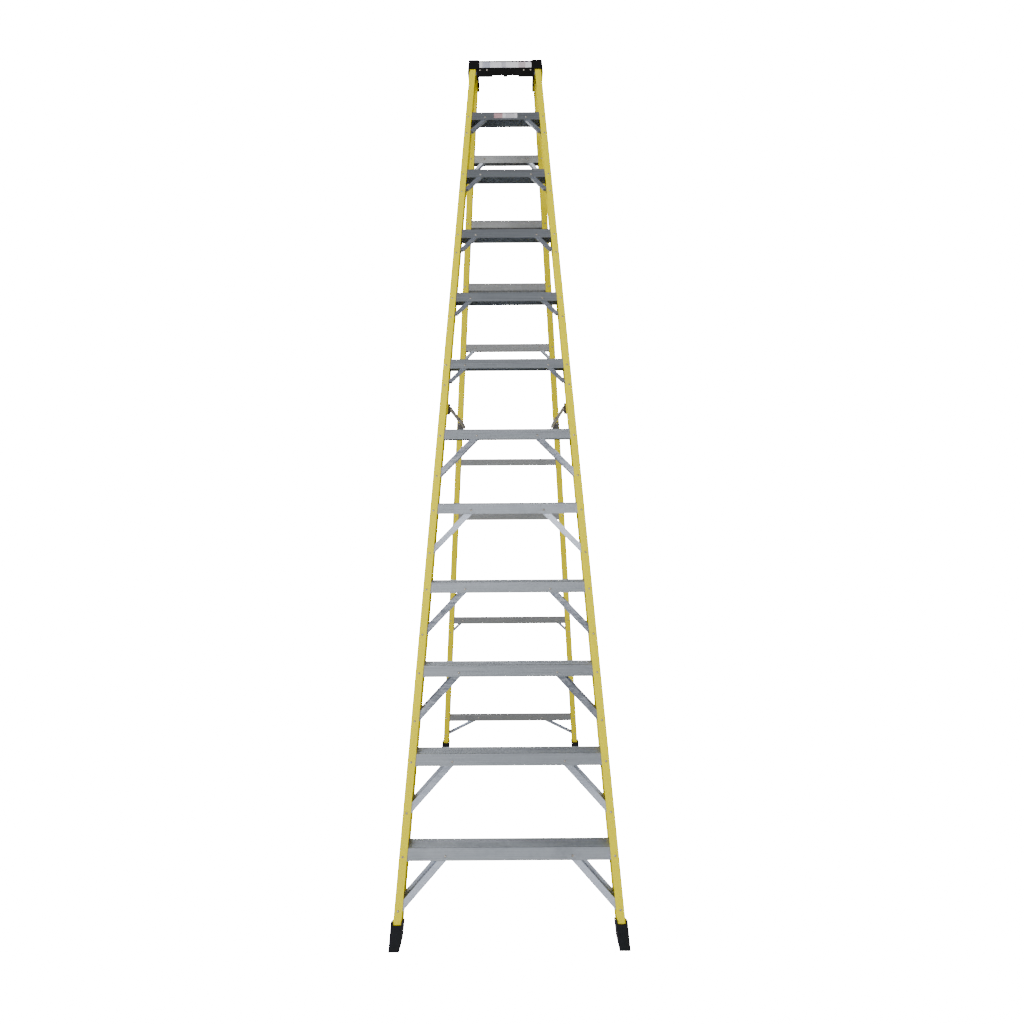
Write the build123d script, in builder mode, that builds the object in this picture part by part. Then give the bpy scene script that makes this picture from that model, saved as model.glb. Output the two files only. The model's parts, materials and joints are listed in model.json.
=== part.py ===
from build123d import *
from math import asin, atan, atan2, cos, degrees, hypot, radians, sin, tan
import os

# Fibreglass A-frame stepladder. Millimetres, +Z up. The origin is on the floor, midway between the toes of
# the front boots and the heels of the rear boots. The climbing side faces -Y and the ladder is symmetric in X.

# ---- whole ladder
step_count = 11
step_pitch = 304.8            # between treads, along the front rails
front_lean = 17.0             # degrees from vertical
level_zero = 8.0              # height of the level that the treads are counted from
base_width = 783.0            # over the rails at level zero
top_width = 319.0             # over the rails one pitch above the last tread
open_spread = 1877.0          # front rails' face to rear rails' face at level zero, standing open
closed_gap = 52.0             # clear space between the two frames when folded

# ---- rails
rail_wall = 3.5
rail_corner = 3.5             # outside corner radius of the pultruded channel
rail_root = 1.5               # inside corner radius
rail_lip = 1.2                # rounding at the flange tips
front_rail_depth = 76.0
front_rail_flange = 28.5
rear_rail_depth = 62.0
rear_rail_flange = 30.0

# ---- treads
apron_height = 40.0
apron_wall = 2.0
tread_wall = 2.6
tread_nose = 3.0              # nose radius
tread_end_gap = 2.5           # tread end to rail web
rib_height = 0.8
rib_width = 2.2
rib_pitch = 6.0
rivet_drop = 26.0             # rivet line below the tread top
rivet_edge = 13.7             # rivet line in from the rail's outer face

# ---- step braces: a pressed channel, web on the inboard side
brace_wall = 2.0
brace_outboard = 10.0         # flange beyond the rivet line
brace_inboard = 13.0          # flange from the rivet line to the web
brace_ear = 9.0               # radius of the flange round each rivet
brace_notch = 26.0            # radius of the cut in the web's lower end
large_brace_count = 6         # treads that carry the large brace, from the floor up
large_brace_reach = 144.0     # apron rivet inboard of the rail's rivet line
large_brace_foot = 106.48     # its lower rivet above the tread below
small_brace_reach = 75.5
small_brace_drop = 84.0
small_brace_outboard = 3.0
small_brace_depth = 18.0      # the small brace is held at the front only

# ---- rear bars, numbered by the tread level they hang under
rear_bar_levels = (11, 10, 9, 8, 6, 5, 3, 1)
rear_bar_drop = 74.0          # bar top below its tread level
rear_bar_height = 35.0
rear_bar_depth = 38.0
rear_bar_wall = 2.0
rear_bar_rivet_drop = 17.0
rear_brace_levels = (11, 8, 3, 1)
rear_brace_reach = 66.0
rear_brace_drop = 67.0
low_brace_reach = 182.0       # the brace of the lowest bar is long and shallow
low_brace_foot = 100.48       # its lower rivet above level zero
rear_brace_outboard = 3.0
rear_brace_inboard = 9.0
rear_brace_notch = 12.0

# ---- rivets
rivet_shank = 2.5
rivet_head = 4.2
rivet_dome = 2.6
rivet_upset = 4.0
rivet_upset_height = 1.6
hole_reach = 10.5             # hole past the rivet's seat, through every sheet that it holds

# ---- boots
front_boot_height = 75.0
front_boot_ear = 90.0
front_boot_fall = 45.0        # the tops of the walls fall this far towards the back
rear_boot_height = 56.0
rear_boot_ear = 68.0
rear_boot_fall = 16.0
boot_sole = 14.0
boot_outer_wall = 7.0
boot_inner_wall = 4.5
boot_toe_inner_wall = 2.0     # inner wall at the floor
boot_end_wall = 5.0
boot_round = 3.0
groove_count = 5
groove_width = 4.0
groove_depth = 3.0
boot_rivet_height = 40.0
boot_rivet_height_rear = 34.0

# ---- top cap
cap_top_drop = 16.78          # cap's top below the level one pitch above the top tread
cap_plate = 10.0
cap_wall = 5.0
cap_cheek = 6.0
cap_side_gap = 2.0            # rail to cheek
cap_front_drop = 50.0         # corner blocks cover the rails to here
cap_cheek_drop = 64.0
cap_block_width = 47.0        # corner block, from the outer face of the cap's top
cap_tray_drop = 4.0           # tray between the corner blocks
cap_brow = 1.5                # the tray's front edge, proud of the apron
cap_apron_drop = 89.0
cap_apron_relief = 8.0
cap_apron_gap = 1.0           # apron's end to the rail's flange
cap_relief_edge = 58.5
cap_tab = 8.6
cap_rear_drop = 40.0
cap_top_run = 108.0           # the top's depth between the arms that carry the hinge
cap_arm_gap = 4.0             # rear rail's flange to the arm's inner edge
cap_corner = 8.0
cap_edge = 4.0
cap_rib_count = 7
cap_rib_height = 1.2
cap_bolt_x = (84.0, 116.0)
cap_bolt_drop = 53.0
gusset_wall = 3.0
gusset_height = 44.0
gusset_leg = 50.0

# ---- hinge of the rear frame
hinge_drop = 43.0             # hinge axis below the cap's ceiling
rear_rail_rise = 25.0         # rear rail above the hinge axis
hinge_radius = 5.0
running_gap = 0.05            # radial, pin in hole
hinge_boss = 12.0
hinge_boss_rise = 1.0
hinge_head = 9.0
hinge_head_height = 5.0
hinge_nut_gap = 2.0

# ---- spreaders
spreader_level = 6
spreader_rise = 91.11         # link pivots above that tread
spreader_standoff = 17.0      # pin to the face of its rail
spreader_inset = 37.96        # front link's outer face in from the rail's outer face
strap_height = 22.0
strap_wall = 3.0
strap_gap = 0.4               # between links, and between a link and its bracket
pin_radius = 4.0
pin_head = 7.0
pin_head_height = 2.2
bracket_wall = 3.0
bracket_height = 46.0
bracket_reach = 33.0          # base plate, outboard of its ear
bracket_ear = 10.5
bracket_rivet_rise = 14.0

# ---- plates
cap_label_margin = 2.61       # to the corner blocks on each side
cap_label_height = 31.0
cap_label_drop = 26.0
step_label_size = (104.0, 24.0)
step_label_drop = 20.0
label_corner = 1.5
label_wall = 0.8

# ---- worked out from the sizes above
step_rise = step_pitch * cos(radians(front_lean))
frame_height = (step_count + 1) * step_rise
front_slope = tan(radians(front_lean))
side_slope = (base_width - top_width) / 2 / frame_height
front_run = front_rail_depth / cos(radians(front_lean))
cap_top = level_zero + frame_height - cap_top_drop
cap_ceiling = cap_top - cap_plate
spreader_height = level_zero + spreader_level * step_rise + spreader_rise
spreader_x = base_width / 2 - (spreader_height - level_zero) * side_slope - spreader_inset
hinge_z = cap_ceiling - hinge_drop
# hinge height above level zero, and its distance behind the front rails' face plane
hinge_rise = hinge_z - level_zero
hinge_back = hinge_rise * front_slope + front_run
hinge_back += (closed_gap + rear_rail_depth / 2) / cos(radians(front_lean))
hinge_to_foot = hypot(open_spread - hinge_back, hinge_rise)
rear_lean = degrees(
    atan2(open_spread - hinge_back, hinge_rise) + asin(rear_rail_depth / 2 / hinge_to_foot)
)
rear_slope = tan(radians(rear_lean))
rear_run = rear_rail_depth / cos(radians(rear_lean))
toe = level_zero * front_slope + boot_end_wall / cos(radians(front_lean))
heel = rear_run + level_zero * rear_slope + boot_end_wall / cos(radians(rear_lean))
front_y = (toe - heel - open_spread) / 2
hinge_y = front_y + hinge_back
fold_angle = front_lean + rear_lean


class Frame:
    """One of the two leaning frames: where its rails' front face is, and the planes that lie on it."""

    def __init__(self, base_y, slope, depth, flange):
        self.base_y = base_y
        self.slope = slope
        self.flange = flange
        self.stretch = 1 / cos(atan(slope))
        self.run = depth * self.stretch
        self.wall = rail_wall * self.stretch

    def face_y(self, z):
        return self.base_y + (z - level_zero) * self.slope

    def front(self, x, z, inset=0.0):
        """Plane on the front face, moved straight back by inset, normal forwards, local y up the rails."""
        lean = atan(self.slope)
        return Plane(origin=(x, self.face_y(z) + inset, z), x_dir=(1, 0, 0), z_dir=(0, -cos(lean), sin(lean)))

    def back(self, x, z, inset=0.0):
        """The same on the rear face, moved forward by inset, normal to the rear."""
        lean = atan(self.slope)
        y = self.face_y(z) + self.run - inset
        return Plane(origin=(x, y, z), x_dir=(-1, 0, 0), z_dir=(0, cos(lean), -sin(lean)))


front = Frame(front_y, front_slope, front_rail_depth, front_rail_flange)
rear = Frame(front_y + open_spread, -rear_slope, rear_rail_depth, rear_rail_flange)


def half_width(z):
    return base_width / 2 - (z - level_zero) * side_slope


def tread_z(level):
    return level_zero + level * step_rise


def rivet_x(z):
    return half_width(z) - rivet_edge


def brace_size(level):
    if level <= large_brace_count:
        return large_brace_reach, step_rise - rivet_drop - large_brace_foot
    return small_brace_reach, small_brace_drop


def rear_brace_size(level):
    if level == min(rear_brace_levels):
        return low_brace_reach, rear_rivet_z(level) - level_zero - low_brace_foot
    return rear_brace_reach, rear_brace_drop


def rear_rivet_z(level):
    return tread_z(level) - rear_bar_drop - rear_bar_rivet_drop


def save(part, label):
    part.label = label
    export_step(part, f"parts/{label}.step")


# ---- where the rivets go: (x, z) on one side of each frame
def tread_rivet_points():
    levels = range(1, step_count + 1)
    return [(rivet_x(tread_z(k) - rivet_drop), tread_z(k) - rivet_drop) for k in levels]


def brace_rivet_points():
    points = []
    for level in range(1, step_count + 1):
        z = tread_z(level) - rivet_drop - brace_size(level)[1]
        points.append((rivet_x(z), z))
    return points


def apron_rivet_point(level):
    z = tread_z(level) - rivet_drop
    return rivet_x(z) - brace_size(level)[0], z


def rear_bar_rivet_points():
    return [(rivet_x(rear_rivet_z(k)), rear_rivet_z(k)) for k in rear_bar_levels]


def rear_apron_point(level):
    z = rear_rivet_z(level)
    return rivet_x(z) - rear_brace_size(level)[0], z


def rear_brace_rivet_points():
    points = []
    for level in rear_brace_levels:
        z = rear_rivet_z(level) - rear_brace_size(level)[1]
        points.append((rivet_x(z), z))
    return points


def bracket_rivet_points():
    heights = (spreader_height - bracket_rivet_rise, spreader_height + bracket_rivet_rise)
    return [(rivet_x(z), z) for z in heights]


def seats(plane, points, sides=(-1, 1), inset=0.0):
    """Rivet seats on one face of a frame. The same planes place a rivet and cut the holes that it fills."""
    return [plane(side * x, z, inset) for x, z in points for side in sides]


def bracket_seats(plane, stretch, sides=(-1, 1)):
    return seats(plane, bracket_rivet_points(), sides, -bracket_wall * stretch)


def drill(planes):
    with Locations(planes):
        Cylinder(rivet_shank, 2 * hole_reach, mode=Mode.SUBTRACT)


def boot_rivet_plane(frame, side, z):
    """On the boot's outer wall, square to it, in the middle of the rail's depth."""
    angle = atan(side_slope)
    x = half_width(z) + boot_outer_wall
    y = frame.face_y(z) + frame.run / 2
    return Plane(origin=(side * x, y, z), x_dir=(0, 1, 0), z_dir=(side * cos(angle), 0, sin(angle)))


# ---- rails
def make_rail(frame, side, bottom, top, holes, boot_hole_z, hinge_hole):
    centre_y = frame.face_y(bottom) + frame.run / 2
    outer_x = half_width(bottom)
    rise = top - bottom
    with BuildPart() as rail:
        with BuildSketch(Plane.XY.offset(bottom)) as section:
            with Locations((side * (outer_x - frame.flange / 2), centre_y)):
                Rectangle(frame.flange, frame.run)
            with Locations((side * (outer_x - rail_wall - frame.flange / 2), centre_y)):
                Rectangle(frame.flange, frame.run - 2 * frame.wall, mode=Mode.SUBTRACT)
            for inboard, radius in ((rail_wall, rail_root), (frame.flange, rail_lip), (0, rail_corner)):
                line_x = side * (outer_x - inboard)
                fillet(section.vertices().filter_by(lambda v: abs(v.X - line_x) < 0.01), radius=radius)
        run = Vector(-side * side_slope * rise, frame.slope * rise, rise)
        extrude(amount=run.length, dir=run)
        drill(holes)
        with Locations(boot_rivet_plane(frame, side, boot_hole_z)):
            Cylinder(rivet_shank, 4 * boot_outer_wall, mode=Mode.SUBTRACT)
        if hinge_hole:
            with Locations(Plane(origin=(side * half_width(hinge_z), hinge_y, hinge_z), z_dir=(1, 0, 0))):
                Cylinder(hinge_radius + running_gap, 6 * rail_wall, mode=Mode.SUBTRACT)
    return rail.part


def make_boot(frame, side, height, ear, fall, rivet_z):
    """A moulded sleeve closed by a grooved sole. Its sides stand above its front and slope to the rear."""
    end = boot_end_wall * frame.stretch

    def outline(z, inner_wall):
        inner = half_width(z) - frame.flange - inner_wall
        outer = half_width(z) + boot_outer_wall
        with Locations((side * (inner + outer) / 2, frame.face_y(z) + frame.run / 2)):
            Rectangle(outer - inner, frame.run + 2 * end)

    with BuildPart() as boot:
        with BuildSketch(Plane.XY):
            outline(0, boot_toe_inner_wall)
        with BuildSketch(Plane.XY.offset(ear)):
            outline(ear, boot_inner_wall)
        loft()
        uprights = boot.edges().filter_by(lambda edge: abs(edge.tangent_at(0.5).Z) > 0.5)
        fillet(uprights, radius=boot_round)
        # the rail's place
        with BuildSketch(Plane.XY.offset(boot_sole)):
            x = half_width(boot_sole) - frame.flange / 2
            with Locations((side * x, frame.face_y(boot_sole) + frame.run / 2)):
                Rectangle(frame.flange, frame.run)
        rise = ear + 1 - boot_sole
        run = Vector(-side * side_slope * rise, frame.slope * rise, rise)
        extrude(amount=run.length, dir=run, mode=Mode.SUBTRACT)
        # front and rear walls stop below the ears
        middle_x = side * (half_width(height) - frame.flange / 2)
        middle_y = frame.face_y(height) + frame.run / 2
        with Locations((middle_x, middle_y, height)):
            Box(
                frame.flange, frame.run + 4 * end, 2 * (ear - height),
                align=(Align.CENTER, Align.CENTER, Align.MIN), mode=Mode.SUBTRACT,
            )
        ahead = frame.face_y(ear) - 2 * end
        behind = frame.face_y(ear) + frame.run + 2 * end
        with BuildSketch(Plane.YZ.offset(side * half_width(0) - 2 * frame.flange)):
            with BuildLine():
                Polyline((ahead, ear), (behind, ear - fall), (behind, 2 * ear), (ahead, 2 * ear), close=True)
            make_face()
        extrude(amount=4 * frame.flange, mode=Mode.SUBTRACT)
        # grooves across the sole
        pitch = (frame.run + 2 * end) / (groove_count + 1)
        first = frame.face_y(0) - end + pitch
        with Locations([(side * half_width(0), first + i * pitch, 0) for i in range(groove_count)]):
            Box(4 * frame.flange, groove_width, 2 * groove_depth, mode=Mode.SUBTRACT)
        with Locations(boot_rivet_plane(frame, side, rivet_z)):
            Cylinder(rivet_shank, 4 * boot_outer_wall, mode=Mode.SUBTRACT)
    return boot.part


# ---- treads and bars
def make_tread(level):
    top = tread_z(level)
    bottom = top - apron_height
    under = top - tread_wall
    apron = apron_wall * front.stretch

    def lead(z):
        return front.face_y(z) + front.wall

    def tail(z):
        return front.face_y(z) + front.run - front.wall

    length = 2 * (half_width(top) - rail_wall - tread_end_gap)
    with BuildPart() as tread:
        with BuildSketch(Plane.YZ) as section:
            with BuildLine():
                Polyline(
                    (lead(bottom), bottom),
                    (lead(top), top),
                    (tail(top), top),
                    (tail(bottom), bottom),
                    (tail(bottom) - apron, bottom),
                    (tail(under) - apron, under),
                    (lead(under) + apron, under),
                    (lead(bottom) + apron, bottom),
                    close=True,
                )
            make_face()
            fillet(section.vertices().group_by(Axis.Y)[-1], radius=tread_nose)
            rib_room = tail(top) - lead(top) - 2 * tread_nose - rib_pitch
            rib_total = int(rib_room / rib_pitch)
            middle = (lead(top) + tail(top)) / 2
            first = middle - (rib_total - 1) * rib_pitch / 2
            with Locations([(first + i * rib_pitch, top) for i in range(rib_total)]):
                Trapezoid(rib_width, rib_height, 65, align=(Align.CENTER, Align.MIN))
        extrude(amount=length / 2, both=True)
        for plane, count in ((front.front, step_count), (front.back, large_brace_count)):
            drill(seats(plane, [tread_rivet_points()[level - 1]]))
            if level <= count:
                drill(seats(plane, [apron_rivet_point(level)], inset=front.wall))
    return tread.part


def make_rear_bar(level):
    top = tread_z(level) - rear_bar_drop
    bottom = top - rear_bar_height
    under = top - rear_bar_wall
    wall = rear_bar_wall * rear.stretch

    def lead(z):
        return rear.face_y(z) + rear.wall

    def tail(z):
        return lead(z) + rear_bar_depth

    length = 2 * (half_width(top) - rail_wall - tread_end_gap)
    with BuildPart() as bar:
        with BuildSketch(Plane.YZ) as section:
            with BuildLine():
                Polyline(
                    (lead(bottom), bottom),
                    (lead(top), top),
                    (tail(top), top),
                    (tail(bottom), bottom),
                    (tail(bottom) - wall, bottom),
                    (tail(under) - wall, under),
                    (lead(under) + wall, under),
                    (lead(bottom) + wall, bottom),
                    close=True,
                )
            make_face()
            fillet(section.vertices().group_by(Axis.Y)[-1], radius=rear_bar_wall)
        extrude(amount=length / 2, both=True)
        drill(seats(rear.front, [(rivet_x(rear_rivet_z(level)), rear_rivet_z(level))]))
        if level in rear_brace_levels:
            drill(seats(rear.front, [rear_apron_point(level)], inset=rear.wall))
    return bar.part


# ---- braces
def make_brace_pair(frame, top_point, foot_point, inset, depth, outboard, inboard, notch, holes):
    """Pressed channels between a rivet near a tread's end and a rivet on the rail, one each side.

    The flanges lie in the lean of the frame and the web joins them along their inboard edge.
    inset is from the frame's face to the front flange and depth is over the flanges, both along Y.
    """
    top_x, top_z = top_point
    foot_x, foot_z = foot_point
    reach = foot_x - top_x
    fall = (foot_z - top_z) * frame.stretch
    length = hypot(reach, fall)
    angle = atan2(fall, reach)
    middle = Location((reach / 2, fall / 2), degrees(angle))
    sheet = brace_wall * frame.stretch
    foot = frame.front(foot_x, foot_z, inset + depth / 2)
    across = foot.x_dir * sin(angle) - foot.y_dir * cos(angle)

    with BuildPart() as pair:
        for start in (inset, inset + depth - sheet):
            with BuildSketch(frame.front(top_x, top_z, start)):
                with Locations((0, 0), (reach, fall)):
                    Circle(brace_ear)
                with Locations(middle * Location((0, (outboard - inboard) / 2))):
                    Rectangle(length, outboard + inboard)
            extrude(amount=sheet, dir=(0, 1, 0))
        with BuildSketch(frame.front(top_x, top_z, inset)):
            with Locations(middle * Location((0, brace_wall / 2 - inboard))):
                Rectangle(length, brace_wall)
        extrude(amount=depth, dir=(0, 1, 0))
        # the web's foot is cut away in a curve
        with Locations(Plane(origin=foot.origin + across * inboard, z_dir=across)):
            Cylinder(notch, inboard, mode=Mode.SUBTRACT)
        drill(holes)
        mirror(about=Plane.YZ)
    return pair.part


def make_step_braces(level):
    top = apron_rivet_point(level)
    foot = brace_rivet_points()[level - 1]
    inset = front.wall + apron_wall * front.stretch
    planes, depth, outboard = (front.front, front.back), front.run - 2 * inset, brace_outboard
    if level > large_brace_count:
        planes, depth, outboard = (front.front,), small_brace_depth, small_brace_outboard
    holes = []
    for plane in planes:
        holes += seats(plane, [top], (1,), front.wall) + seats(plane, [foot], (1,))
    return make_brace_pair(
        front, top, foot, inset, depth, outboard, brace_inboard, brace_notch, holes
    )


def make_rear_braces(level):
    top = rear_apron_point(level)
    foot = rear_brace_rivet_points()[rear_brace_levels.index(level)]
    wall = rear_bar_wall * rear.stretch
    holes = seats(rear.front, [top], (1,), rear.wall) + seats(rear.front, [foot], (1,))
    depth = rear_bar_depth - 2 * wall
    return make_brace_pair(
        rear, top, foot, rear.wall + wall, depth,
        rear_brace_outboard, rear_brace_inboard, rear_brace_notch, holes,
    )


# ---- rivets
def make_rivet(grip):
    """A domed head on its seat at z = 0, and a shank with an upset end past the sheets it holds."""
    ball = (rivet_head**2 + rivet_dome**2) / (2 * rivet_dome)
    half_angle = asin(rivet_head / ball) / 2
    crown = (ball * sin(half_angle), rivet_dome - ball + ball * cos(half_angle))
    with BuildPart() as rivet:
        with BuildSketch(Plane.XZ):
            with BuildLine():
                Polyline(
                    (0, rivet_dome),
                    (0, -grip - rivet_upset_height),
                    (rivet_upset, -grip - rivet_upset_height),
                    (rivet_upset, -grip),
                    (rivet_shank, -grip),
                    (rivet_shank, 0),
                    (rivet_head, 0),
                )
                ThreePointArc((rivet_head, 0), crown, (0, rivet_dome))
            make_face()
        revolve(axis=Axis.Z)
    return rivet.part


def make_group(placed):
    """Many small solids in one node: each entry is a solid and the planes that it is repeated on."""
    with BuildPart() as group:
        for solid, planes in placed:
            with Locations(planes):
                add(solid)
    return group.part


def boot_seats(frame, z):
    return [boot_rivet_plane(frame, side, z) for side in (-1, 1)]


def make_front_rivets():
    sheets = rail_wall + apron_wall
    aprons = [apron_rivet_point(k) for k in range(1, step_count + 1)]
    placed = [
        (make_rivet(boot_outer_wall + rail_wall), boot_seats(front, boot_rivet_height)),
        (make_rivet(bracket_wall + rail_wall), bracket_seats(front.back, front.stretch)),
    ]
    for plane, count in ((front.front, step_count), (front.back, large_brace_count)):
        placed.append((make_rivet(sheets), seats(plane, tread_rivet_points())))
        placed.append((make_rivet(sheets + brace_wall), seats(plane, brace_rivet_points()[:count])))
        placed.append((make_rivet(apron_wall + brace_wall), seats(plane, aprons[:count], inset=front.wall)))
    return make_group(placed)


def make_rear_rivets():
    sheets = rail_wall + rear_bar_wall
    aprons = [rear_apron_point(k) for k in rear_brace_levels]
    return make_group([
        (make_rivet(sheets), seats(rear.front, rear_bar_rivet_points())),
        (make_rivet(sheets + brace_wall), seats(rear.front, rear_brace_rivet_points())),
        (make_rivet(rear_bar_wall + brace_wall), seats(rear.front, aprons, inset=rear.wall)),
        (make_rivet(boot_outer_wall + rail_wall), boot_seats(rear, boot_rivet_height_rear)),
        (make_rivet(bracket_wall + rail_wall), bracket_seats(rear.front, rear.stretch)),
    ])


# ---- top cap
def cap_half_width(z):
    return half_width(z) + cap_side_gap + cap_cheek


def slanted_face(x, z_low, z_high, start, stop):
    """A cut at x that leans as the front rails do, between two distances behind their face."""
    with BuildSketch(Plane.YZ.offset(x)) as face:
        with BuildLine():
            Polyline(
                (front.face_y(z_low) + start, z_low),
                (front.face_y(z_low) + stop, z_low),
                (front.face_y(z_high) + stop, z_high),
                (front.face_y(z_high) + start, z_high),
                close=True,
            )
        make_face()
    return face.sketch


def make_cap():
    cheek_bottom = cap_top - cap_cheek_drop
    block_bottom = cap_top - cap_front_drop
    block_edge = cap_half_width(cap_top) - cap_block_width
    skin = cap_wall * front.stretch
    ahead = -3 * skin
    rear_inside = hinge_y + hinge_drop
    tray = cap_top - cap_tray_drop

    def rim(z, side_wall, end_wall):
        """The cap's plan at a height, with the walls outside its cavity."""
        low = front.face_y(z) - end_wall * front.stretch
        high = rear_inside + end_wall
        with Locations((0, (low + high) / 2)):
            Rectangle(2 * (half_width(z) + cap_side_gap + side_wall), high - low)

    with BuildPart() as cap:
        with BuildSketch(Plane.XY.offset(cheek_bottom)):
            rim(cheek_bottom, cap_cheek, cap_wall)
        with BuildSketch(Plane.XY.offset(cap_top)):
            rim(cap_top, cap_cheek, cap_wall)
        loft()
        fillet(cap.edges().filter_by(lambda edge: abs(edge.tangent_at(0.5).Z) > 0.5), radius=cap_corner)
        fillet(cap.faces().sort_by(Axis.Z)[-1].edges(), radius=cap_edge)
        # cavity over the rail ends
        with BuildSketch(Plane.XY.offset(cheek_bottom - 1)):
            rim(cheek_bottom - 1, 0, 0)
        with BuildSketch(Plane.XY.offset(cap_ceiling)):
            rim(cap_ceiling, 0, 0)
        loft(mode=Mode.SUBTRACT)
        # the front is open below the corner blocks and between them
        inside = half_width(block_bottom) + cap_side_gap
        below_blocks = slanted_face(-inside, cheek_bottom - 1, block_bottom, ahead, 0.01)
        extrude(below_blocks, amount=2 * inside, mode=Mode.SUBTRACT)
        between_blocks = slanted_face(-block_edge, cheek_bottom - 1, cap_ceiling, ahead, 0.01)
        extrude(between_blocks, amount=2 * block_edge, mode=Mode.SUBTRACT)
        brow = slanted_face(-block_edge, cap_ceiling - 1, cap_top + 1, ahead, -cap_brow)
        extrude(brow, amount=2 * block_edge, mode=Mode.SUBTRACT)
        # the rear wall is a short skirt, open below for the folding frame
        skirt = cap_top - cap_rear_drop
        with Locations((0, rear_inside, skirt)):
            Box(
                2 * (half_width(skirt) + cap_side_gap), 4 * cap_wall, cap_cheek_drop,
                align=(Align.CENTER, Align.CENTER, Align.MAX), mode=Mode.SUBTRACT,
            )
        # the apron between the rails, and the corner blocks' return walls
        apron_half = half_width(cap_top) - front.flange - cap_apron_gap
        apron_bottom = cap_top - cap_apron_drop
        extrude(slanted_face(-apron_half, apron_bottom, cap_ceiling, 0, skin), amount=2 * apron_half)
        for x in (block_edge, -block_edge - cap_wall):
            extrude(slanted_face(x, block_bottom, cap_ceiling, -skin, skin), amount=cap_wall)
        for x in (cap_tab, -cap_relief_edge):
            relief = slanted_face(x, apron_bottom - 1, apron_bottom + cap_apron_relief, -1, skin + 1)
            extrude(relief, amount=cap_relief_edge - cap_tab, mode=Mode.SUBTRACT)
        # tray between the blocks, with ribs across it
        tray_low = front.face_y(cap_top) - 2 * skin
        top_end = front.face_y(cap_top) + cap_top_run
        tray_high = top_end - cap_wall
        with Locations((0, tray_low, tray)):
            Box(
                2 * block_edge, tray_high - tray_low, 2 * cap_tray_drop,
                align=(Align.CENTER, Align.MIN, Align.MIN), mode=Mode.SUBTRACT,
            )
        rib_gap = 2 * block_edge / (cap_rib_count + 1)
        ribs_low = front.face_y(cap_top) + skin
        ribs_high = tray_high - 2 * cap_wall
        places = [-block_edge + (i + 1) * rib_gap for i in range(cap_rib_count)]
        with Locations([(x, (ribs_low + ribs_high) / 2, tray) for x in places]):
            Box(cap_wall, ribs_high - ribs_low, cap_rib_height, align=(Align.CENTER, Align.CENTER, Align.MIN))
        # open at the rear between the two arms
        arm_inner = half_width(cap_top) - rear.flange - cap_arm_gap
        with Locations((0, top_end, cap_top)):
            Box(
                2 * arm_inner, 4 * cap_top_run, 4 * cap_cheek_drop,
                align=(Align.CENTER, Align.MIN, Align.CENTER), mode=Mode.SUBTRACT,
            )
        # flat bosses and holes for the hinge bolts
        boss_face = cap_half_width(hinge_z) + hinge_boss_rise
        boss_root = half_width(hinge_z) + cap_side_gap + cap_cheek / 2
        for side in (-1, 1):
            with Locations(Plane(origin=(side * boss_root, hinge_y, hinge_z), z_dir=(side, 0, 0))):
                Cylinder(hinge_boss, boss_face - boss_root, align=(Align.CENTER, Align.CENTER, Align.MIN))
                Cylinder(hinge_radius, 4 * cap_cheek, mode=Mode.SUBTRACT)
        drill(cap_bolt_seats())
    return cap.part


def cap_bolt_seats():
    return seats(front.front, [(x, cap_top - cap_bolt_drop) for x in cap_bolt_x])


def make_cap_gussets():
    """Angles that tie the cap's apron to the webs of the front rails."""
    low = cap_top - cap_bolt_drop - gusset_height / 2
    start = front.face_y(low) + cap_wall * front.stretch
    outer = half_width(low) - rail_wall
    inner = min(cap_bolt_x) - 2 * rivet_head
    sheet = gusset_wall * front.stretch
    run = Vector(-side_slope * gusset_height, front_slope * gusset_height, gusset_height)
    with BuildPart() as gussets:
        with BuildSketch(Plane.XY.offset(low)):
            with Locations(((inner + outer) / 2, start + sheet / 2)):
                Rectangle(outer - inner, sheet)
            with Locations((outer - gusset_wall / 2, start + gusset_leg / 2)):
                Rectangle(gusset_wall, gusset_leg)
        extrude(amount=run.length, dir=run)
        mirror(about=Plane.YZ)
        drill(cap_bolt_seats())
    return gussets.part


def make_cap_bolts():
    return make_group([(make_rivet(cap_wall + gusset_wall), cap_bolt_seats())])


def make_plate(size, z, inset):
    """A thin plate on a face of the front frame."""
    with BuildPart() as plate:
        with BuildSketch(front.front(0, z, inset)):
            RectangleRounded(size[0], size[1], label_corner)
        extrude(amount=label_wall)
    return plate.part


def make_hinge_bolts():
    head_face = cap_half_width(hinge_z) + hinge_boss_rise
    nut_face = half_width(hinge_z) - rail_wall - hinge_nut_gap
    with BuildPart() as bolts:
        with BuildSketch(Plane.YZ.offset(head_face)):
            with Locations((hinge_y, hinge_z)):
                RegularPolygon(hinge_head, 6)
        extrude(amount=hinge_head_height)
        chamfer(bolts.faces().sort_by(Axis.X)[-1].edges(), length=0.8)
        with BuildSketch(Plane.YZ.offset(nut_face - hinge_head_height)):
            with Locations((hinge_y, hinge_z)):
                RegularPolygon(hinge_head, 6)
        extrude(amount=hinge_head_height)
        with BuildSketch(Plane.YZ.offset(nut_face - 2 * hinge_head_height)):
            with Locations((hinge_y, hinge_z)):
                Circle(hinge_radius)
        extrude(amount=head_face + 2 * hinge_head_height - nut_face)
        mirror(about=Plane.YZ)
    return bolts.part


# ---- spreaders: where the pins and links are
link_outer = spreader_x
link_inner = link_outer - strap_wall
rear_link_outer = link_inner - strap_gap
rear_link_inner = rear_link_outer - strap_wall
ear_inner = link_outer + strap_gap
ear_outer = ear_inner + bracket_wall
front_pin_y = front.face_y(spreader_height) + front.run + spreader_standoff * front.stretch
rear_pin_y = rear.face_y(spreader_height) - spreader_standoff * rear.stretch


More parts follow.
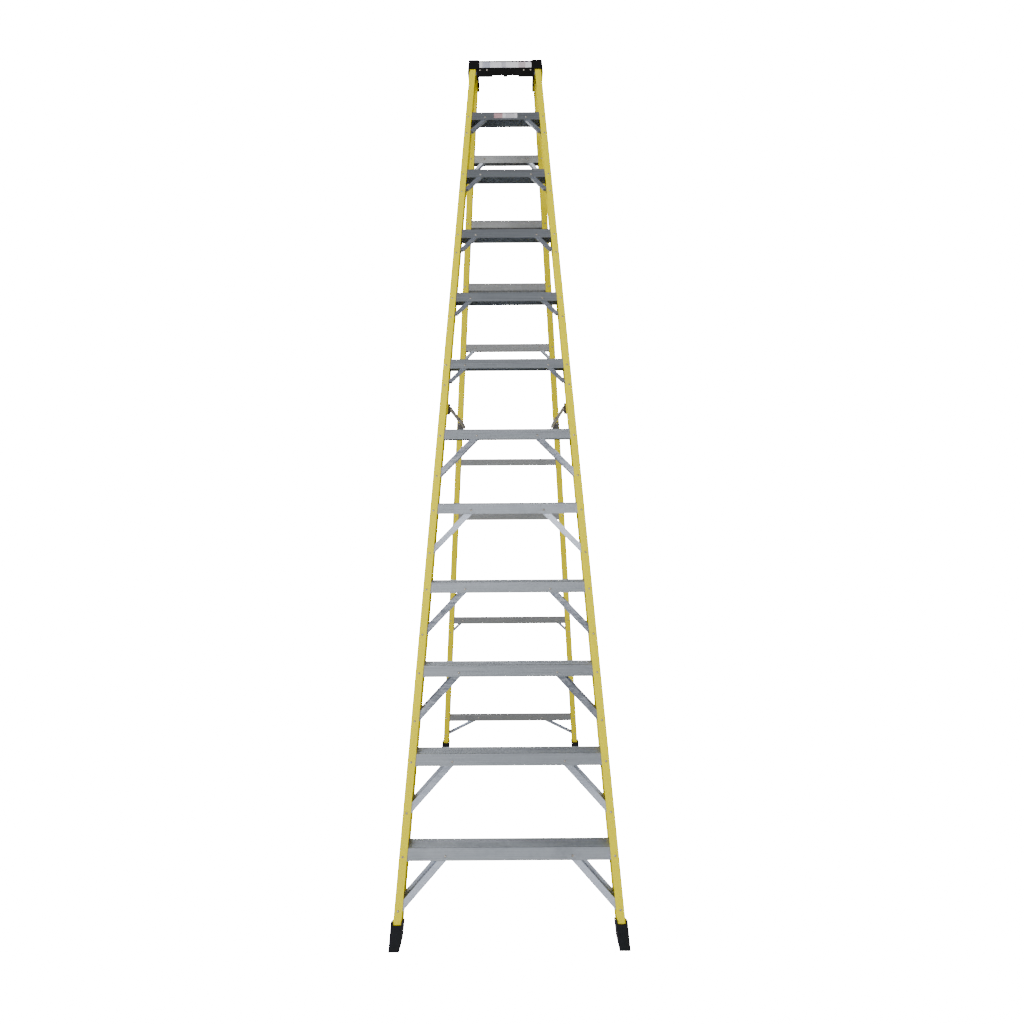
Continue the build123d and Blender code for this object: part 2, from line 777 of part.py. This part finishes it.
def below_hinge(pin_y, lean):
    """A spreader pin's place from the hinge: down along rails that lean so, and square to them, forwards."""
    drop = hinge_z - spreader_height
    back = hinge_y - pin_y
    return (
        back * sin(radians(lean)) + drop * cos(radians(lean)),
        back * cos(radians(lean)) - drop * sin(radians(lean)),
    )


# how far the rear pin ends up above and behind the front pin when the frames are folded together
front_along, front_across = below_hinge(front_pin_y, front_lean)
rear_along, rear_across = below_hinge(rear_pin_y, -rear_lean)
fold_along = front_along - rear_along
fold_across = front_across - rear_across
# open, the two links are straight; folded, the front link lies along the front rails
pin_span = rear_pin_y - front_pin_y
front_link = (pin_span**2 - fold_along**2 - fold_across**2) / (2 * (pin_span - fold_along))
rear_link = pin_span - front_link
knee_y = front_pin_y + front_link


def make_brackets(frame, pin_y, plate_plane, face_y):
    """A base plate on the rail's flange and an ear that carries the pin, one each side."""
    low = spreader_height - bracket_height / 2
    high = spreader_height + bracket_height / 2
    with BuildPart() as brackets:
        with BuildSketch(plate_plane(ear_inner + bracket_reach / 2, spreader_height)):
            Rectangle(bracket_reach, bracket_height * frame.stretch)
        extrude(amount=bracket_wall)
        with BuildSketch(Plane.YZ.offset(ear_inner)):
            with Locations((pin_y, spreader_height)):
                Circle(bracket_ear)
            with BuildLine():
                Polyline(
                    (face_y(low), low),
                    (face_y(high), high),
                    (pin_y, spreader_height + bracket_ear),
                    (pin_y, spreader_height - bracket_ear),
                    close=True,
                )
            make_face()
        extrude(amount=bracket_wall)
        with Locations(Plane(origin=(ear_inner, pin_y, spreader_height), z_dir=(1, 0, 0))):
            Cylinder(pin_radius, 4 * bracket_wall, mode=Mode.SUBTRACT)
        drill(bracket_seats(plate_plane, frame.stretch, (1,)))
        mirror(about=Plane.YZ)
    return brackets.part


def make_front_brackets():
    return make_brackets(front, front_pin_y, front.back, lambda z: front.face_y(z) + front.run)


def make_rear_brackets():
    return make_brackets(rear, rear_pin_y, rear.front, rear.face_y)


def make_pins(pin_y, inside):
    """Headed pins through a bracket's ear and the link that turns on it, one each side."""
    low = inside - strap_gap - pin_head_height
    with BuildPart() as pins:
        with BuildSketch(Plane.YZ.offset(low)):
            with Locations((pin_y, spreader_height)):
                Circle(pin_radius)
        extrude(amount=ear_outer + pin_head_height - low)
        with BuildSketch(Plane.YZ.offset(low), Plane.YZ.offset(ear_outer)):
            with Locations((pin_y, spreader_height)):
                Circle(pin_head)
        extrude(amount=pin_head_height)
        mirror(about=Plane.YZ)
    return pins.part


def make_link(side, inner, start_y, stop_y, pivot_y, knee_hole):
    """A strap with round ends from pin to knee. It runs on the bracket's pin."""
    with BuildPart() as link:
        with BuildSketch(Plane.YZ.offset(inner)):
            with Locations(((start_y + stop_y) / 2, spreader_height)):
                SlotCenterToCenter(stop_y - start_y, strap_height)
            with Locations((pivot_y, spreader_height)):
                Circle(pin_radius + running_gap, mode=Mode.SUBTRACT)
            if knee_hole:
                with Locations((knee_y, spreader_height)):
                    Circle(pin_radius, mode=Mode.SUBTRACT)
        extrude(amount=strap_wall)
        if not knee_hole:
            with BuildSketch(Plane.YZ.offset(inner - pin_head_height)):
                with Locations((knee_y, spreader_height)):
                    Circle(pin_head)
            extrude(amount=pin_head_height)
        if side < 0:
            mirror(about=Plane.YZ, mode=Mode.REPLACE)
    return link.part


def make_knee_pin(side):
    """Fixed in the front link. It ends flush, clear of the rear link, whose own button faces inboard."""
    with BuildPart() as pin:
        with BuildSketch(Plane.YZ.offset(link_inner)):
            with Locations((knee_y, spreader_height)):
                Circle(pin_radius)
        extrude(amount=strap_wall)
        with BuildSketch(Plane.YZ.offset(link_outer)):
            with Locations((knee_y, spreader_height)):
                Circle(pin_head)
        extrude(amount=pin_head_height)
        if side < 0:
            mirror(about=Plane.YZ, mode=Mode.REPLACE)
    return pin.part


# ---- build everything
def main():
    os.makedirs("parts", exist_ok=True)
    front_points = tread_rivet_points() + brace_rivet_points()
    back_points = tread_rivet_points() + brace_rivet_points()[:large_brace_count]
    rear_points = rear_bar_rivet_points() + rear_brace_rivet_points()
    for name, side in (("left", -1), ("right", 1)):
        holes = seats(front.front, front_points, (side,)) + seats(front.back, back_points, (side,))
        holes += bracket_seats(front.back, front.stretch, (side,))
        rail = make_rail(front, side, boot_sole, cap_ceiling, holes, boot_rivet_height, False)
        save(rail, f"front_rail_{name}")
        holes = seats(rear.front, rear_points, (side,)) + bracket_seats(rear.front, rear.stretch, (side,))
        rear_top = hinge_z + rear_rail_rise
        rail = make_rail(rear, side, boot_sole, rear_top, holes, boot_rivet_height_rear, True)
        save(rail, f"rear_rail_{name}")
        boot = make_boot(front, side, front_boot_height, front_boot_ear, front_boot_fall, boot_rivet_height)
        save(boot, f"front_boot_{name}")
        boot = make_boot(rear, side, rear_boot_height, rear_boot_ear, rear_boot_fall, boot_rivet_height_rear)
        save(boot, f"rear_boot_{name}")
        front_strap = make_link(side, link_inner, front_pin_y, knee_y, front_pin_y, True)
        rear_strap = make_link(side, rear_link_inner, knee_y, rear_pin_y, rear_pin_y, False)
        save(front_strap, f"spreader_front_link_{name}")
        save(rear_strap, f"spreader_rear_link_{name}")
        save(make_knee_pin(side), f"spreader_knee_pin_{name}")
    for level in range(1, step_count + 1):
        save(make_tread(level), f"tread_{level:02d}")
        save(make_step_braces(level), f"tread_braces_{level:02d}")
    for level in rear_bar_levels:
        save(make_rear_bar(level), f"rear_bar_{level:02d}")
    for level in rear_brace_levels:
        save(make_rear_braces(level), f"rear_bar_braces_{level:02d}")
    save(make_front_rivets(), "front_rivets")
    save(make_rear_rivets(), "rear_rivets")
    save(make_cap(), "top_cap")
    save(make_cap_gussets(), "cap_gussets")
    save(make_cap_bolts(), "cap_bolts")
    label_width = 2 * (cap_half_width(cap_top) - cap_block_width - cap_label_margin)
    label_size = (label_width, cap_label_height)
    save(make_plate(label_size, cap_top - cap_label_drop, 0), "cap_plate")
    save(make_plate(step_label_size, tread_z(step_count) - step_label_drop, front.wall), "tread_plate")
    save(make_hinge_bolts(), "hinge_bolts")
    save(make_front_brackets(), "front_spreader_brackets")
    save(make_rear_brackets(), "rear_spreader_brackets")
    save(make_pins(front_pin_y, link_inner), "front_spreader_pins")
    save(make_pins(rear_pin_y, rear_link_inner), "rear_spreader_pins")
    tilt = degrees(atan2(fold_across, front_link - fold_along))
    print(f"hinge at y {hinge_y:.2f} z {hinge_z:.2f}, folds {front_lean + rear_lean:.3f} degrees")
    print(f"front link at y {front_pin_y:.2f}, length {front_link:.2f}, turns {90 - front_lean:.3f} degrees")
    print(f"rear link at y {rear_pin_y:.2f}, length {rear_link:.2f}, turns {90 - rear_lean - tilt:.3f} degrees")


main()
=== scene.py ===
"""Looks for the fibreglass stepladder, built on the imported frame. Metres, +Z up, climbing side faces -Y."""
import bpy
import json
import math
from mathutils import Matrix, Vector

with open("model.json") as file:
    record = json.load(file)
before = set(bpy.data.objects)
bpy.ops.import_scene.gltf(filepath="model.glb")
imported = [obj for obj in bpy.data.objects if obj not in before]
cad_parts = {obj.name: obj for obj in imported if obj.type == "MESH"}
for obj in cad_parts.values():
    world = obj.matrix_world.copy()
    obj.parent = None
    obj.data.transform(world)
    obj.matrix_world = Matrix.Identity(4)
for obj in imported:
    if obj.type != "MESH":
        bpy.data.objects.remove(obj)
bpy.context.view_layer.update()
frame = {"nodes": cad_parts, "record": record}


# ---- material helpers
class Mat:
    """A node material with short ways to add and join nodes."""

    def __init__(self, name, **sockets):
        self.m = bpy.data.materials.new(name)
        self.m.use_nodes = True
        self.t = self.m.node_tree
        self.b = self.t.nodes["Principled BSDF"]
        for key, value in sockets.items():
            self.b.inputs[key.replace("_", " ")].default_value = value
        self.co = self.t.nodes.new("ShaderNodeTexCoord").outputs["Object"]

    def link(self, a, b):
        self.t.links.new(a, b)

    def scaled(self, scale, turn=(0, 0, 0)):
        n = self.t.nodes.new("ShaderNodeMapping")
        n.inputs["Scale"].default_value = scale
        n.inputs["Rotation"].default_value = turn
        self.link(self.co, n.inputs["Vector"])
        return n.outputs["Vector"]

    def noise(self, scale, stretch=(1, 1, 1), turn=(0, 0, 0), detail=5.0, rough=0.55):
        n = self.t.nodes.new("ShaderNodeTexNoise")
        n.inputs["Scale"].default_value = scale
        n.inputs["Detail"].default_value = detail
        n.inputs["Roughness"].default_value = rough
        self.link(self.scaled(stretch, turn), n.inputs["Vector"])
        return n.outputs["Fac"]

    def ramp(self, value, low, high, out_low=0.0, out_high=1.0):
        n = self.t.nodes.new("ShaderNodeMapRange")
        for key, v in (("From Min", low), ("From Max", high), ("To Min", out_low), ("To Max", out_high)):
            n.inputs[key].default_value = v
        self.link(value, n.inputs["Value"])
        return n.outputs["Result"]

    def mix(self, factor, a, b):
        n = self.t.nodes.new("ShaderNodeMix")
        n.data_type = "RGBA"
        self.link(factor, n.inputs[0])
        for socket, v in ((n.inputs[6], a), (n.inputs[7], b)):
            if hasattr(v, "is_output"):
                self.link(v, socket)
            else:
                socket.default_value = (*v, 1)
        return n.outputs[2]

    def math(self, op, a, b):
        n = self.t.nodes.new("ShaderNodeMath")
        n.operation = op
        for socket, v in zip(n.inputs, (a, b)):
            if hasattr(v, "is_output"):
                self.link(v, socket)
            else:
                socket.default_value = v
        return n.outputs[0]

    def axis(self, name):
        n = self.t.nodes.new("ShaderNodeSeparateXYZ")
        self.link(self.co, n.inputs[0])
        return n.outputs[name]

    def colour(self, socket):
        self.link(socket, self.b.inputs["Base Color"])

    def rough(self, socket):
        self.link(socket, self.b.inputs["Roughness"])

    def bump(self, height, strength, distance=0.001):
        n = self.t.nodes.new("ShaderNodeBump")
        n.inputs["Strength"].default_value = strength
        n.inputs["Distance"].default_value = distance
        self.link(height, n.inputs["Height"])
        self.link(n.outputs["Normal"], self.b.inputs["Normal"])


def fibreglass(name, light, deep, lean):
    """Pultruded rail: fine glass strands along the rail under a clear resin skin, with handling wear."""
    m = Mat(name, Specular_IOR_Level=0.12, Coat_Weight=0.02, Coat_Roughness=0.3, Coat_IOR=1.45)
    strand = m.noise(60, (9, 9, 0.25), (lean, 0, 0), 6)
    cloud = m.noise(2.2, (1, 1, 0.5))
    base = m.mix(m.ramp(cloud, 0.3, 0.7), deep, light)
    glass = m.mix(m.ramp(strand, 0.52, 0.78, 0, 0.35), base, tuple(min(1, c * 1.08) for c in light))
    scuff = m.noise(34, (1, 1, 0.3), (lean, 0, 0), 8, 0.7)
    worn = m.mix(m.ramp(scuff, 0.66, 0.8, 0, 0.35), glass, tuple(c * 0.72 for c in deep))
    m.colour(worn)
    m.rough(m.math("ADD", m.ramp(strand, 0.3, 0.7, 0.3, 0.44), m.ramp(scuff, 0.6, 0.8, 0, 0.14)))
    m.bump(m.math("ADD", strand, m.math("MULTIPLY", scuff, 0.4)), 0.16, 0.0006)
    return m.m


def aluminium(name, light, dark, rough, along=(0.3, 40, 40)):
    """Extruded mill finish: die lines along the piece, cloudy oxide and small scratches."""
    m = Mat(name, Metallic=0.86, Anisotropic=0.35)
    lines = m.noise(14, along, detail=7)
    oxide = m.noise(9, detail=8, rough=0.65)
    scratch = m.noise(60, (0.6, 12, 12), (0, 0, 0.35), 3)
    base = m.mix(m.ramp(lines, 0.3, 0.7), dark, light)
    cloudy = m.mix(m.ramp(oxide, 0.48, 0.72, 0, 0.4), base, tuple(c * 0.78 for c in dark))
    m.colour(m.mix(m.ramp(scratch, 0.7, 0.8, 0, 0.3), cloudy, tuple(min(1, c * 1.2) for c in light)))
    grain = m.ramp(lines, 0.3, 0.7, rough - 0.07, rough + 0.07)
    m.rough(m.math("ADD", grain, m.ramp(oxide, 0.5, 0.8, 0, 0.16)))
    m.bump(m.math("ADD", lines, m.math("MULTIPLY", scratch, 0.5)), 0.14, 0.0004)
    return m.m


def zinc(name, light, dark, rough):
    """Plated steel with spangle and a few dull patches."""
    m = Mat(name, Metallic=0.92)
    spangle = m.noise(120, detail=4)
    patch = m.noise(18, detail=8, rough=0.7)
    base = m.mix(m.ramp(spangle, 0.35, 0.65), dark, light)
    m.colour(m.mix(m.ramp(patch, 0.5, 0.75, 0, 0.5), base, tuple(c * 0.66 for c in dark)))
    grain = m.ramp(spangle, 0.3, 0.7, rough - 0.06, rough + 0.06)
    m.rough(m.math("ADD", grain, m.ramp(patch, 0.5, 0.8, 0, 0.18)))
    m.bump(spangle, 0.12, 0.0003)
    return m.m


def moulded(name, light, dark, rough, grain, dust):
    """Moulded rubber or plastic: fine grain, paler rubbed places and a little dust."""
    m = Mat(name, Specular_IOR_Level=0.2)
    fine = m.noise(grain, detail=3)
    rub = m.noise(22, detail=8, rough=0.7)
    base = m.mix(m.ramp(rub, 0.35, 0.7), dark, light)
    m.colour(m.mix(m.ramp(rub, 0.6, 0.8, 0, dust), base, (0.22, 0.21, 0.2)))
    m.rough(m.math("ADD", m.ramp(fine, 0.3, 0.7, rough - 0.06, rough + 0.06), m.ramp(rub, 0.4, 0.8, 0, 0.1)))
    m.bump(m.math("ADD", fine, m.math("MULTIPLY", rub, 0.5)), 0.35, 0.0004)
    return m.m


def film(name, light, dark, patches):
    """A printed film face: slight ripple and plain patches of colour, each between two X values."""
    m = Mat(name, Coat_Weight=0.15, Coat_Roughness=0.3)
    ripple = m.noise(40, detail=4)
    face = m.mix(m.ramp(ripple, 0.3, 0.75), light, dark)
    for low, high, tint in patches:
        past_low = m.math("GREATER_THAN", m.axis("X"), low)
        inside = m.math("MULTIPLY", past_low, m.math("LESS_THAN", m.axis("X"), high))
        face = m.mix(m.math("MULTIPLY", inside, m.ramp(ripple, 0.3, 0.7, 0.75, 0.95)), face, tint)
    m.colour(face)
    m.rough(m.ramp(ripple, 0.3, 0.7, 0.34, 0.5))
    m.bump(ripple, 0.08, 0.0003)
    return m.m


# a brace lies across both axes, so its grain is nearly even; an extrusion's runs along X
BRACE_GRAIN = (3, 9, 9)
# the way that the glass strands run, along the leaning rails
LEAN_FRONT = math.radians(-17)
LEAN_REAR = math.radians(11.45)
LOOKS = {
    "front_fibreglass": fibreglass("front_fibreglass", (0.95, 0.82, 0.0), (0.88, 0.75, 0.0), LEAN_FRONT),
    "rear_fibreglass": fibreglass("rear_fibreglass", (0.80, 0.67, 0.0), (0.70, 0.58, 0.0), LEAN_REAR),
    "tread_aluminium": aluminium("tread_aluminium", (0.37, 0.40, 0.44), (0.28, 0.305, 0.34), 0.40),
    "brace_aluminium": aluminium(
        "brace_aluminium", (0.52, 0.56, 0.64), (0.34, 0.38, 0.46), 0.24, BRACE_GRAIN
    ),
    "bar_aluminium": aluminium("bar_aluminium", (0.34, 0.35, 0.36), (0.26, 0.27, 0.28), 0.42),
    "rivet_metal": zinc("rivet_metal", (0.56, 0.52, 0.46), (0.40, 0.36, 0.31), 0.30),
    "spreader_steel": zinc("spreader_steel", (0.56, 0.53, 0.47), (0.42, 0.40, 0.36), 0.4),
    "bracket_steel": zinc("bracket_steel", (0.13, 0.128, 0.125), (0.08, 0.08, 0.08), 0.45),
    "boot_rubber": moulded("boot_rubber", (0.010, 0.011, 0.015), (0.005, 0.006, 0.008), 0.62, 500, 0.04),
    "cap_plastic": moulded("cap_plastic", (0.006, 0.006, 0.006), (0.003, 0.003, 0.003), 0.5, 700, 0.03),
    "cap_film": film("cap_film", (0.97, 0.95, 0.99), (0.88, 0.86, 0.92), (
        (-0.105, -0.070, (0.44, 0.46, 0.58)),
        (-0.018, 0.002, (0.56, 0.55, 0.62)),
        (0.060, 0.092, (0.60, 0.50, 0.54)),
    )),
    "tread_film": film("tread_film", (0.82, 0.80, 0.84), (0.70, 0.69, 0.74), (
        (-0.052, -0.014, (0.50, 0.26, 0.28)),
        (0.000, 0.040, (0.56, 0.55, 0.60)),
    )),
}
PLATES = {"cap_plate": "cap_film", "tread_plate": "tread_film"}


def look_of(node, slot):
    """The look of a node: its slot in the record, or one of its own for plates, bars and brackets."""
    if node.endswith("spreader_brackets"):
        return "bracket_steel"
    if node.startswith("rear_bar_") and "braces" not in node:
        return "bar_aluminium"
    return PLATES.get(node, slot)


for part in frame["record"]["subparts"]:
    mesh = frame["nodes"][part["node"]].data
    mesh.materials.clear()
    mesh.materials.append(LOOKS[look_of(part["node"], part["material_slot"])])


# ---- stage
FLOOR_SIZE = 40
FLOOR_GAP = 0.0005            # floor below the boots, so that the two never share a face
SEEN_BRIGHTNESS = 24.0        # floor and backdrop, to the camera only
LIGHTING_BRIGHTNESS = 0.26    # backdrop, to everything else


def stage_floor():
    m = Mat("floor", Specular_IOR_Level=0.2)
    soft = m.noise(1.5, detail=3)
    m.colour(m.mix(m.ramp(soft, 0.3, 0.7), (0.93, 0.93, 0.93), (0.96, 0.96, 0.96)))
    m.rough(m.ramp(soft, 0.3, 0.7, 0.75, 0.85))
    # the floor glows for the camera only, so that it meets the backdrop and lights nothing
    ray = m.t.nodes.new("ShaderNodeLightPath").outputs["Is Camera Ray"]
    m.b.inputs["Emission Color"].default_value = (1, 1, 1, 1)
    m.link(m.math("MULTIPLY", ray, SEEN_BRIGHTNESS), m.b.inputs["Emission Strength"])
    bpy.ops.mesh.primitive_plane_add(size=FLOOR_SIZE, location=(0, 0, -FLOOR_GAP))
    floor = bpy.context.object
    floor.name = "stage_floor"
    floor.data.materials.append(m.m)


def area(name, place, target, width, height, power):
    """A soft rectangular light, in metres and watts, turned towards its target."""
    light = bpy.data.lights.new(name, "AREA")
    light.shape = "RECTANGLE"
    light.size = width
    light.size_y = height
    light.energy = power
    ob = bpy.data.objects.new(name, light)
    ob.location = place
    ob.rotation_euler = (Vector(target) - Vector(place)).to_track_quat("-Z", "Y").to_euler()
    bpy.context.scene.collection.objects.link(ob)


stage_floor()
area("key", (-4.2, -5.0, 4.0), (0, 0, 1.6), 2.5, 3.0, 300)
area("fill", (4.4, -4.2, 2.2), (0, 0, 1.4), 3.0, 4.0, 60)
area("rear", (-1.5, 5.0, 4.5), (0, 0, 1.8), 3.0, 3.0, 70)
area("low", (0, -5.0, 0.9), (0, 0, 1.2), 4.0, 1.2, 22)
area("high", (0.6, -3.6, 3.3), (0, 0, 3.1), 2.6, 0.8, 20)

world = bpy.data.worlds.new("studio")
bpy.context.scene.world = world
world.use_nodes = True
tree = world.node_tree
seen = tree.nodes.new("ShaderNodeLightPath")
level = tree.nodes.new("ShaderNodeMapRange")
level.inputs["To Min"].default_value = LIGHTING_BRIGHTNESS
level.inputs["To Max"].default_value = SEEN_BRIGHTNESS
tree.links.new(seen.outputs["Is Camera Ray"], level.inputs["Value"])
tree.links.new(level.outputs["Result"], tree.nodes["Background"].inputs["Strength"])
tree.nodes["Background"].inputs["Color"].default_value = (1, 1, 1, 1)

# ---- camera
CAMERA_PLACE = (0.0176, -3.3814, 1.5103)
CAMERA_DIP = 0.0276           # radians below the horizon
CAMERA_ROLL = -0.0063
FOCAL_LENGTH = 26.203
camera = bpy.data.cameras.new("camera")
camera.lens = FOCAL_LENGTH
camera.sensor_width = 36.0
camera.clip_end = 100.0
eye = bpy.data.objects.new("camera", camera)
turn = Matrix.Rotation(math.radians(90) - CAMERA_DIP, 4, "X") @ Matrix.Rotation(CAMERA_ROLL, 4, "Z")
eye.matrix_world = Matrix.Translation(CAMERA_PLACE) @ turn
bpy.context.scene.collection.objects.link(eye)
bpy.context.scene.camera = eye
